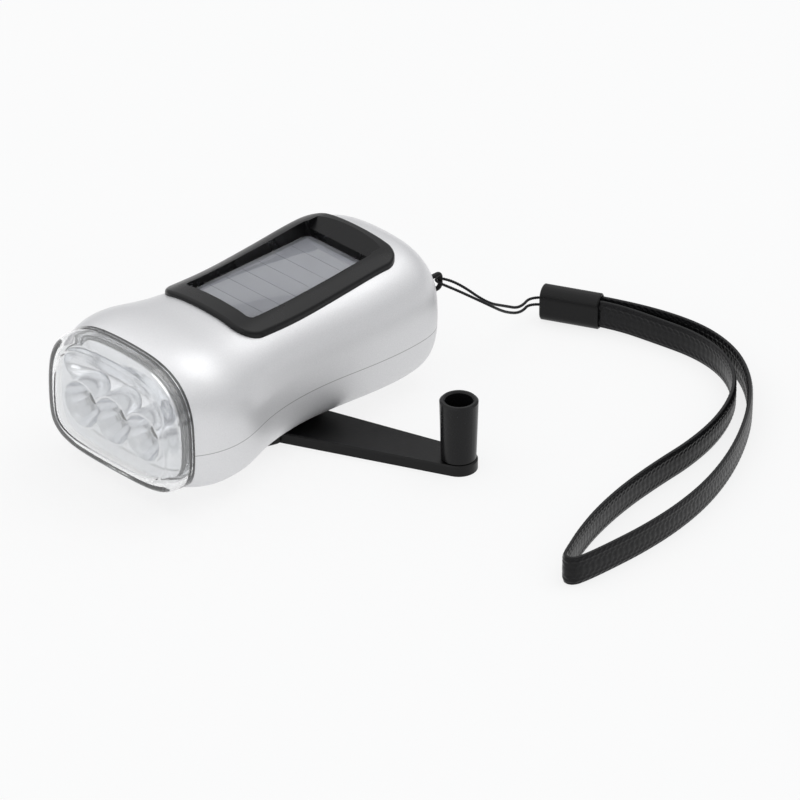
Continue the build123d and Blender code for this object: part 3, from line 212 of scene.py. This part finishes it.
def skin(name, rings, closed_ring=True, caps=True):
    """Mesh over rings of points, one ring after the other."""
    verts = [p for ring in rings for p in ring]
    n = len(rings[0])
    faces = []
    for i in range(len(rings) - 1):
        for k in range(n if closed_ring else n - 1):
            a, b = i * n + k, i * n + (k + 1) % n
            faces.append((a, b, b + n, a + n))
    if caps:
        faces.append(tuple(reversed(range(n))))
        faces.append(tuple(range((len(rings) - 1) * n, len(rings) * n)))
    mesh = bpy.data.meshes.new(name)
    mesh.from_pydata(verts, [], faces)
    mesh.validate()
    return add_object(name, mesh)


# ---- materials ----------------------------------------------------------------
class Nodes:
    """A small helper that adds shader nodes to one material."""

    def __init__(self, name):
        self.material = bpy.data.materials.new(name)
        self.material.use_nodes = True
        self.tree = self.material.node_tree
        self.shader = self.tree.nodes["Principled BSDF"]
        self.place = self.add("ShaderNodeTexCoord").outputs["Object"]

    def add(self, kind, **values):
        node = self.tree.nodes.new(kind)
        for key, value in values.items():
            if key in node.inputs:
                node.inputs[key].default_value = value
            else:
                setattr(node, key, value)
        return node

    def link(self, a, b):
        self.tree.links.new(a, b)

    def set(self, **values):
        for key, value in values.items():
            self.shader.inputs[key.replace("_", " ")].default_value = value

    def noise(self, scale, detail=3.0, stretch=(1, 1, 1)):
        mapping = self.add("ShaderNodeMapping")
        mapping.inputs["Scale"].default_value = stretch
        self.link(self.place, mapping.inputs["Vector"])
        node = self.add("ShaderNodeTexNoise", Scale=scale, Detail=detail)
        self.link(mapping.outputs["Vector"], node.inputs["Vector"])
        return node.outputs["Fac"]

    def ramp(self, value, low, high, start=0.3, end=0.7):
        node = self.add("ShaderNodeValToRGB")
        first, last = node.color_ramp.elements
        first.position, first.color = start, (*low, 1)
        last.position, last.color = end, (*high, 1)
        self.link(value, node.inputs["Fac"])
        return node.outputs["Color"]

    def range(self, value, low, high):
        node = self.add("ShaderNodeMapRange")
        node.inputs["To Min"].default_value = low
        node.inputs["To Max"].default_value = high
        self.link(value, node.inputs["Value"])
        return node.outputs["Result"]

    def colour(self, value, low, high, start=0.3, end=0.7):
        self.link(self.ramp(value, low, high, start, end), self.shader.inputs["Base Color"])

    def roughness(self, value, low, high):
        self.link(self.range(value, low, high), self.shader.inputs["Roughness"])

    def bump(self, value, distance_mm, strength=1.0):
        node = self.add("ShaderNodeBump", Strength=strength, Distance=distance_mm * MM)
        self.link(value, node.inputs["Height"])
        self.link(node.outputs["Normal"], self.shader.inputs["Normal"])


PARTING_Z = 16.5        # height of the line where the two shells meet, mm
PARTING_HALF = 0.13     # half its width, mm
PARTING_SHADE = 0.45    # share of the paint's brightness left in it


def silver_paint():
    """Satin silver with a fine flake, and a hairline where the shells meet."""
    m = Nodes("silver_paint")
    flakes = m.noise(5200, 2.0)
    paint = m.ramp(flakes, (0.70, 0.70, 0.712), (0.79, 0.79, 0.80))
    axes = m.add("ShaderNodeSeparateXYZ")
    m.link(m.place, axes.inputs["Vector"])
    off = m.add("ShaderNodeMath", operation="SUBTRACT")
    off.inputs[1].default_value = PARTING_Z * MM
    m.link(axes.outputs["Z"], off.inputs[0])
    away = m.add("ShaderNodeMath", operation="ABSOLUTE")
    m.link(off.outputs[0], away.inputs[0])
    line = m.add("ShaderNodeMapRange")
    for key, value in (("From Min", PARTING_HALF * 0.5 * MM), ("From Max", PARTING_HALF * MM),
                       ("To Min", PARTING_SHADE), ("To Max", 1.0)):
        line.inputs[key].default_value = value
    m.link(away.outputs[0], line.inputs["Value"])
    mix = m.add("ShaderNodeMix", data_type="RGBA", blend_type="MULTIPLY")
    mix.inputs["Factor"].default_value = 1.0
    m.link(paint, mix.inputs[6])
    m.link(line.outputs["Result"], mix.inputs[7])
    m.link(mix.outputs[2], m.shader.inputs["Base Color"])
    m.set(Metallic=0.55, Coat_Weight=0.15, Coat_Roughness=0.25)
    m.roughness(m.noise(60, 3.0), 0.38, 0.46)
    m.bump(m.noise(900, 3.0), 0.010)
    return m.material


def black_satin(name, base=0.012, low=0.34, high=0.44, grain=0.012):
    m = Nodes(name)
    m.colour(m.noise(45, 4.0), (base, base, base * 1.08), (base * 1.35, base * 1.35, base * 1.5))
    m.roughness(m.noise(130, 4.0), low, high)
    m.set(Specular_IOR_Level=0.22)
    m.bump(m.noise(1500, 3.0), grain)
    return m.material


def clear_plastic(name, tint, rough=0.02, clarity=1.0):
    """Clear moulding; a clarity under 1 leaves a little milkiness in it."""
    m = Nodes(name)
    m.colour(m.noise(30, 2.0), tint, tuple(min(1, c + 0.01) for c in tint))
    m.set(Transmission_Weight=clarity, IOR=1.5)
    m.roughness(m.noise(220, 3.0), rough, rough * 2.2)
    m.bump(m.noise(70, 2.0), 0.004)
    return m.material


def cell_coat():
    """Thin resin over the cells: it bends light hardly at all and shines on top."""
    m = Nodes("coat")
    m.colour(m.noise(30, 2.0), (0.95, 0.955, 0.965), (0.97, 0.975, 0.98))
    m.set(Transmission_Weight=1.0, IOR=1.03, Coat_Weight=1.0, Coat_Roughness=0.07)
    m.roughness(m.noise(220, 3.0), 0.02, 0.05)
    m.bump(m.noise(40, 2.0), 0.01)
    return m.material


def mirror_coat():
    m = Nodes("mirror_coat")
    m.colour(m.noise(90, 3.0), (0.80, 0.81, 0.83), (0.86, 0.87, 0.88))
    m.set(Metallic=1.0)
    m.roughness(m.noise(160, 3.0), 0.14, 0.22)
    m.bump(m.noise(140, 3.0), 0.01)
    return m.material


def metal(name, low, high, rough_low=0.22, rough_high=0.34, stretch=(1, 1, 14)):
    m = Nodes(name)
    m.colour(m.noise(260, 4.0, stretch), low, high)
    m.set(Metallic=1.0)
    m.roughness(m.noise(420, 4.0, stretch), rough_low, rough_high)
    m.bump(m.noise(700, 3.0, stretch), 0.006)
    return m.material


def moulded(name, low, high, rough=0.45):
    m = Nodes(name)
    m.colour(m.noise(80, 4.0), low, high)
    m.roughness(m.noise(300, 3.0), rough - 0.06, rough + 0.06)
    m.bump(m.noise(1200, 3.0), 0.01)
    return m.material


def circuit_board():
    m = Nodes("circuit_board")
    cells = m.add("ShaderNodeTexVoronoi", Scale=420, feature="DISTANCE_TO_EDGE")
    m.link(m.place, cells.inputs["Vector"])
    m.colour(cells.outputs["Distance"], (0.02, 0.10, 0.035), (0.012, 0.055, 0.02), 0.05, 0.2)
    m.roughness(m.noise(200, 2.0), 0.28, 0.36)
    m.set(Coat_Weight=0.4, Coat_Roughness=0.1)
    m.bump(cells.outputs["Distance"], 0.03)
    return m.material


COLLECTOR_PITCH = 0.9   # distance between a cell's collector lines, mm


def solar_cell():
    """Grey-blue silicon with fine collector lines along the panel and a faint cloudiness."""
    m = Nodes("solar_cell")
    axes = m.add("ShaderNodeSeparateXYZ")
    m.link(m.place, axes.inputs["Vector"])
    lines = m.add("ShaderNodeMath", operation="SINE")
    pitch = m.add("ShaderNodeMath", operation="MULTIPLY")
    pitch.inputs[1].default_value = 2 * math.pi / (COLLECTOR_PITCH * MM)
    m.link(axes.outputs["X"], pitch.inputs[0])
    m.link(pitch.outputs[0], lines.inputs[0])
    wash = m.ramp(m.noise(55, 3.0), (0.195, 0.202, 0.228), (0.232, 0.24, 0.266))
    line_colour = m.ramp(m.range(lines.outputs[0], 0, 1), (1, 1, 1), (1.12, 1.12, 1.1), 0.9, 0.99)
    mix = m.add("ShaderNodeMix", data_type="RGBA", blend_type="MULTIPLY")
    mix.inputs["Factor"].default_value = 1.0
    m.link(wash, mix.inputs[6])
    m.link(line_colour, mix.inputs[7])
    m.link(mix.outputs[2], m.shader.inputs["Base Color"])
    m.roughness(m.noise(240, 3.0), 0.3, 0.4)
    m.set(Specular_IOR_Level=0.5)
    return m.material


def woven(name, low, high, rough_low, rough_high, scale, bump_mm):
    """Black yarn: fine fibres and a soft sheen."""
    m = Nodes(name)
    m.colour(m.noise(scale, 5.0), low, high, 0.35, 0.75)
    m.roughness(m.noise(scale * 0.5, 4.0), rough_low, rough_high)
    m.set(Specular_IOR_Level=0.2)
    m.bump(m.noise(scale * 1.6, 5.0), bump_mm)
    return m.material


MATERIALS = {
    "silver_paint": silver_paint(),
    "black_gloss": black_satin("black_gloss", 0.005, 0.24, 0.32, 0.006),
    "black_plastic": black_satin("black_plastic", 0.0025, 0.30, 0.40, 0.014),
    "clear": clear_plastic("clear", (0.97, 0.975, 0.98), clarity=0.93),
    "coat": cell_coat(),
    "mirror_coat": mirror_coat(),
    "led_epoxy": clear_plastic("led_epoxy", (0.97, 0.97, 0.95), 0.015),
    "lamp_glow": moulded("lamp_glow", (0.80, 0.70, 0.30), (0.85, 0.77, 0.38), 0.5),
    "board": circuit_board(),
    "cell_blue": solar_cell(),
    "panel_base": moulded("panel_base", (0.09, 0.094, 0.108), (0.11, 0.115, 0.13), 0.4),
    "steel": metal("steel", (0.55, 0.55, 0.57), (0.68, 0.68, 0.70)),
    "gear_white": moulded("gear_white", (0.70, 0.68, 0.62), (0.78, 0.76, 0.70), 0.4),
    "magnet": metal("magnet", (0.16, 0.16, 0.18), (0.22, 0.22, 0.24), 0.3, 0.45),
    "copper": metal("copper", (0.55, 0.22, 0.09), (0.70, 0.32, 0.14), 0.25, 0.4, (1, 1, 30)),
    "frame_plastic": moulded("frame_plastic", (0.03, 0.03, 0.034), (0.045, 0.045, 0.05), 0.5),
    "cell_metal": metal("cell_metal", (0.55, 0.55, 0.56), (0.68, 0.68, 0.69)),
    "sleeve_green": moulded("sleeve_green", (0.02, 0.15, 0.05), (0.03, 0.19, 0.07), 0.3),
    "component_black": moulded("component_black", (0.012, 0.012, 0.014), (0.02, 0.02, 0.022), 0.4),
    "cord_black": woven("cord_black", (0.006, 0.006, 0.007), (0.018, 0.018, 0.02), 0.4, 0.55, 2600, 0.03),
    "strap_black": woven("strap_black", (0.003, 0.003, 0.0035), (0.010, 0.010, 0.011), 0.24, 0.38, 2400,
                         0.03),
}


def dress(obj, material):
    obj.data.materials.clear()
    obj.data.materials.append(MATERIALS[material])


for part in frame["record"]["subparts"]:
    dress(nodes[part["node"]], part["material_slot"])

# ---- resin over the solar cells -------------------------------------------------
RESIN_LIFT = 0.03       # thin air gap under the resin, so that no two faces coincide
RESIN_CORNER = 1.5
RESIN_EDGE = 0.16       # rounding of its upper edge
RESIN_FOOT = 0.05       # chamfer of its lower edge


def rounded_outline(half_x, half_y, radius, steps=8):
    points = []
    for k, (sx, sy) in enumerate(((1, 1), (-1, 1), (-1, -1), (1, -1))):
        for i in range(steps + 1):
            a = math.pi / 2 * (k + i / steps)
            points.append((sx * (half_x - radius) + radius * math.cos(a),
                           sy * (half_y - radius) + radius * math.sin(a)))
    return points


def build_resin():
    low, high = [[c / MM for c in corner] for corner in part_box("solar_coat")]
    half_x, half_y = (high[0] - low[0]) / 2, (high[1] - low[1]) / 2
    mid_x, mid_y = (high[0] + low[0]) / 2, (high[1] + low[1]) / 2
    foot = low[2] + RESIN_LIFT
    levels = [(RESIN_FOOT, foot), (0.0, foot + RESIN_FOOT)]
    for a in (0.0, 0.4, 0.8, 1.2, math.pi / 2):
        levels.append((RESIN_EDGE * (1 - math.cos(a)), high[2] - RESIN_EDGE * (1 - math.sin(a))))
    rings = []
    for inset, z in levels:
        outline = rounded_outline(half_x - inset, half_y - inset, RESIN_CORNER - inset)
        rings.append([Vector((mid_x + x, mid_y + y, z)) * MM for x, y in outline])
    resin = skin("solar_resin", rings)
    dress(resin, "coat")
    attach(resin, "body")
    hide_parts("solar_coat")


build_resin()

# ---- strap tape ---------------------------------------------------------------
TAPE_STEP = 0.27        # between its rings, mm
TAPE_AROUND = 84        # points round its section
BRAID_PITCH = 1.9       # length of one stitch along the tape, mm
BRAID_ROWS = 7          # rows of stitches across its width
BRAID_SLANT = 0.45      # lean of a stitch, in its own lengths
BRAID_RELIEF = 0.22     # depth between the yarns, mm
TAPE_EDGE = 0.55        # the lower, the squarer the section is across
TAPE_FACE = 0.45        # and through
PLAIN_EDGE = 8          # the higher, the narrower the border without braid


def tape_section(count):
    """Places round a flat oval of the tape's size: across and through, mm."""
    out = []
    for k in range(count):
        a = 2 * math.pi * (k + 0.5) / count
        c, s = math.cos(a), math.sin(a)
        across = STRAP_W / 2 * math.copysign(abs(c) ** TAPE_EDGE, c)
        thick = STRAP_T / 2 * math.copysign(abs(s) ** TAPE_FACE, s)
        out.append((across, thick))
    return out


def braid(along, across):
    """Height of the plaited yarns, 0 to 1: rows of stitches that slant to alternate sides."""
    v = (across / STRAP_W + 0.5) * BRAID_ROWS
    row = math.floor(v)
    fv = v - row
    lean = BRAID_SLANT if row % 2 else -BRAID_SLANT
    u = along / BRAID_PITCH + 0.5 * row + lean * (fv - 0.5)
    fu = u - math.floor(u)
    return math.sin(math.pi * fv) ** 0.5 * math.sin(math.pi * fu) ** 0.6


def build_tape():
    line = smooth_line(STRAP_ROUTE, 40)
    points = evenly(line, TAPE_STEP * MM)
    directions = tangents(points)
    section = tape_section(TAPE_AROUND)
    rings = []
    for i, (p, t) in enumerate(zip(points, directions)):
        side = Vector((t.y, -t.x, 0)).normalized()
        up = side.cross(t).normalized()
        if up.z < 0:
            up = -up
        ring = []
        for across, thick in section:
            flat = max(0.0, 1 - (abs(across) / (STRAP_W / 2)) ** PLAIN_EDGE)
            relief = BRAID_RELIEF * (braid(i * TAPE_STEP, across) - 1) * flat
            out = thick + math.copysign(relief, thick)
            ring.append(p + up * (across * MM) + side * (out * MM))
        rings.append(ring)
    obj = skin("wrist_strap_tape", rings)
    dress(obj, "strap_black")
    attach(obj, "body")
    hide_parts("wrist_strap")
    path = evenly(line, 1.0 * MM)


build_tape()

# ---- thread -------------------------------------------------------------------
THREAD_STEP = 0.1       # between its rings, mm
THREAD_AROUND = 12      # points round its section
TWIST_PITCH = 1.3       # length of one turn of its two yarns, mm
TWIST_RELIEF = 0.16     # share of the radius between the yarns


def build_thread():
    line = smooth_line(THREAD_ROUTE, 30)
    points = evenly(line, THREAD_STEP * MM)
    directions = tangents(points)
    normal = directions[0].orthogonal().normalized()
    rings = []
    for i, (p, t) in enumerate(zip(points, directions)):
        normal = (normal - t * normal.dot(t)).normalized()
        other = t.cross(normal)
        ring = []
        for k in range(THREAD_AROUND):
            a = 2 * math.pi * k / THREAD_AROUND
            turn = 2 * math.pi * i * THREAD_STEP / TWIST_PITCH
            r = THREAD_D / 2 * (1 - TWIST_RELIEF * (0.5 - 0.5 * math.cos(2 * (a - turn))))
            ring.append(p + (normal * math.cos(a) + other * math.sin(a)) * (r * MM))
        rings.append(ring)
    obj = skin("strap_thread_twist", rings)
    dress(obj, "cord_black")
    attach(obj, "body")
    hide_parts("strap_thread")
    path = evenly(line, 0.5 * MM)


build_thread()


# ---- lamp insides ---------------------------------------------------------------
def turned(name, profile, around=32):
    """Mesh of a profile of (distance along +Y, radius) points turned about the Y axis."""
    rings = []
    for along, radius in profile:
        ring = []
        for k in range(around):
            a = 2 * math.pi * k / around
            ring.append(Vector((radius * math.cos(a), along, radius * math.sin(a))) * MM)
        rings.append(ring)
    return skin(name, rings)


# distance behind the tip of the lamp and radius, mm
LAMP_CUP = [(2.2, 1.25), (2.2, 1.0), (3.0, 0.62), (3.05, 0.01),
            (3.5, 0.01), (3.5, 0.75), (3.2, 1.0), (2.4, 1.25)]
LAMP_GLOW = [(2.35, 0.01), (2.32, 0.5), (2.4, 0.88), (2.7, 0.74), (2.95, 0.01)]
LAMP_POST = [(3.4, 0.55), (5.6, 0.45), (5.6, 0.01)]
# name, profile, material here and slot of the record
LAMP_PIECES = [
    ("cup", LAMP_CUP, "steel", "steel"),
    ("glow", LAMP_GLOW, "lamp_glow", "gear_white"),
    ("post", LAMP_POST, "steel", "steel"),
]


def build_lamp_insides():
    for name in ("led_left", "led_centre", "led_right"):
        low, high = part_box(name)
        centre = Vector(((low[0] + high[0]) / 2, low[1], (low[2] + high[2]) / 2))
        for kind, profile, material, slot in LAMP_PIECES:
            piece = turned(name + "_" + kind, profile)
            piece.location = centre
            dress(piece, material)
            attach(piece, "body")


build_lamp_insides()

# ---- floor, lights and world --------------------------------------------------
FLOOR_SIZE = 6.0
FLOOR_WHITE = 0.8       # share of plain white in the floor as it is seen; the rest keeps the shadow
LIGHTS_AIM = Vector((0.04, 0.03, 0.01))


def seen_straight(tree):
    """1 for rays of the camera, of mirrors and of clear plastic, 0 for the light they scatter."""
    path = tree.nodes.new("ShaderNodeLightPath")
    value = path.outputs["Is Camera Ray"]
    for name in ("Is Glossy Ray", "Is Transmission Ray"):
        most = tree.nodes.new("ShaderNodeMath")
        most.operation = "MAXIMUM"
        tree.links.new(value, most.inputs[0])
        tree.links.new(path.outputs[name], most.inputs[1])
        value = most.outputs[0]
    return value


def build_floor():
    mesh = bpy.data.meshes.new("floor")
    h = FLOOR_SIZE / 2
    mesh.from_pydata([(-h, -h, 0), (h, -h, 0), (h, h, 0), (-h, h, 0)], [], [(0, 1, 2, 3)])
    floor = add_object("floor", mesh, smooth=False)
    m = Nodes("floor")
    m.colour(m.noise(4, 2.0), (0.89, 0.89, 0.89), (0.91, 0.91, 0.91))
    m.set(Roughness=0.9, Specular_IOR_Level=0.0)
    tree = m.tree
    white = tree.nodes.new("ShaderNodeEmission")
    share = tree.nodes.new("ShaderNodeMath")
    share.operation = "MULTIPLY"
    share.inputs[1].default_value = FLOOR_WHITE
    tree.links.new(seen_straight(tree), share.inputs[0])
    mix = tree.nodes.new("ShaderNodeMixShader")
    tree.links.new(share.outputs[0], mix.inputs[0])
    tree.links.new(m.shader.outputs[0], mix.inputs[1])
    tree.links.new(white.outputs[0], mix.inputs[2])
    tree.links.new(mix.outputs[0], tree.nodes["Material Output"].inputs["Surface"])
    floor.data.materials.append(m.material)


def area_light(name, at, size, power):
    data = bpy.data.lights.new(name, "AREA")
    data.shape = "RECTANGLE"
    data.size, data.size_y = size
    data.energy = power
    light = bpy.data.objects.new(name, data)
    scene.collection.objects.link(light)
    light.location = at
    light.rotation_euler = (LIGHTS_AIM - Vector(at)).to_track_quat("-Z", "Y").to_euler()


WORLD_LEVEL = 0.62      # light that the surroundings scatter on the object
MIRROR_LOW, MIRROR_HIGH = 0.38, 1.0   # what mirrors see at the horizon and overhead


def build_world():
    world = bpy.data.worlds.new("world")
    world.use_nodes = True
    tree = world.node_tree
    level = tree.nodes["Background"]
    level.inputs["Color"].default_value = (0.97, 0.985, 1.0, 1)
    level.inputs["Strength"].default_value = WORLD_LEVEL
    # mirrors see a soft sweep from grey at the horizon to white overhead
    place = tree.nodes.new("ShaderNodeTexCoord")
    axes = tree.nodes.new("ShaderNodeSeparateXYZ")
    tree.links.new(place.outputs["Generated"], axes.inputs["Vector"])
    sweep = tree.nodes.new("ShaderNodeValToRGB")
    low, high = sweep.color_ramp.elements
    low.position, low.color = 0.02, (MIRROR_LOW, MIRROR_LOW, MIRROR_LOW * 1.03, 1)
    high.position, high.color = 0.6, (MIRROR_HIGH, MIRROR_HIGH, MIRROR_HIGH, 1)
    tree.links.new(axes.outputs["Z"], sweep.inputs["Fac"])
    mirror = tree.nodes.new("ShaderNodeBackground")
    tree.links.new(sweep.outputs["Color"], mirror.inputs["Color"])
    white = tree.nodes.new("ShaderNodeBackground")
    white.inputs["Color"].default_value = (1, 1, 1, 1)
    path = tree.nodes.new("ShaderNodeLightPath")

    def math_node(operation, *values):
        node = tree.nodes.new("ShaderNodeMath")
        node.operation = operation
        for socket, value in zip(node.inputs, values):
            if isinstance(value, (int, float)):
                socket.default_value = value
            else:
                tree.links.new(value, socket)
        return node.outputs[0]

    # a mirror behind clear plastic counts as a mirror too
    mirrored = math_node("MAXIMUM", path.outputs["Is Glossy Ray"],
                         math_node("MINIMUM", path.outputs["Glossy Depth"], 1.0))
    glossy = tree.nodes.new("ShaderNodeMixShader")
    tree.links.new(mirrored, glossy.inputs[0])
    tree.links.new(level.outputs[0], glossy.inputs[1])
    tree.links.new(mirror.outputs[0], glossy.inputs[2])
    through = math_node("MULTIPLY", path.outputs["Is Transmission Ray"],
                        math_node("SUBTRACT", 1.0, mirrored))
    direct = math_node("MAXIMUM", path.outputs["Is Camera Ray"], through)
    final = tree.nodes.new("ShaderNodeMixShader")
    tree.links.new(direct, final.inputs[0])
    tree.links.new(glossy.outputs[0], final.inputs[1])
    tree.links.new(white.outputs[0], final.inputs[2])
    tree.links.new(final.outputs[0], tree.nodes["World Output"].inputs["Surface"])
    scene.world = world


build_floor()
build_world()
area_light("key", (-0.45, -0.45, 0.85), (1.7, 1.7), 3.4)
area_light("top", (0.2, 0.5, 0.95), (0.9, 0.7), 2.4)
area_light("front", (0.55, -0.9, 0.45), (0.7, 0.5), 1.0)
scene.view_settings.view_transform = "Standard"
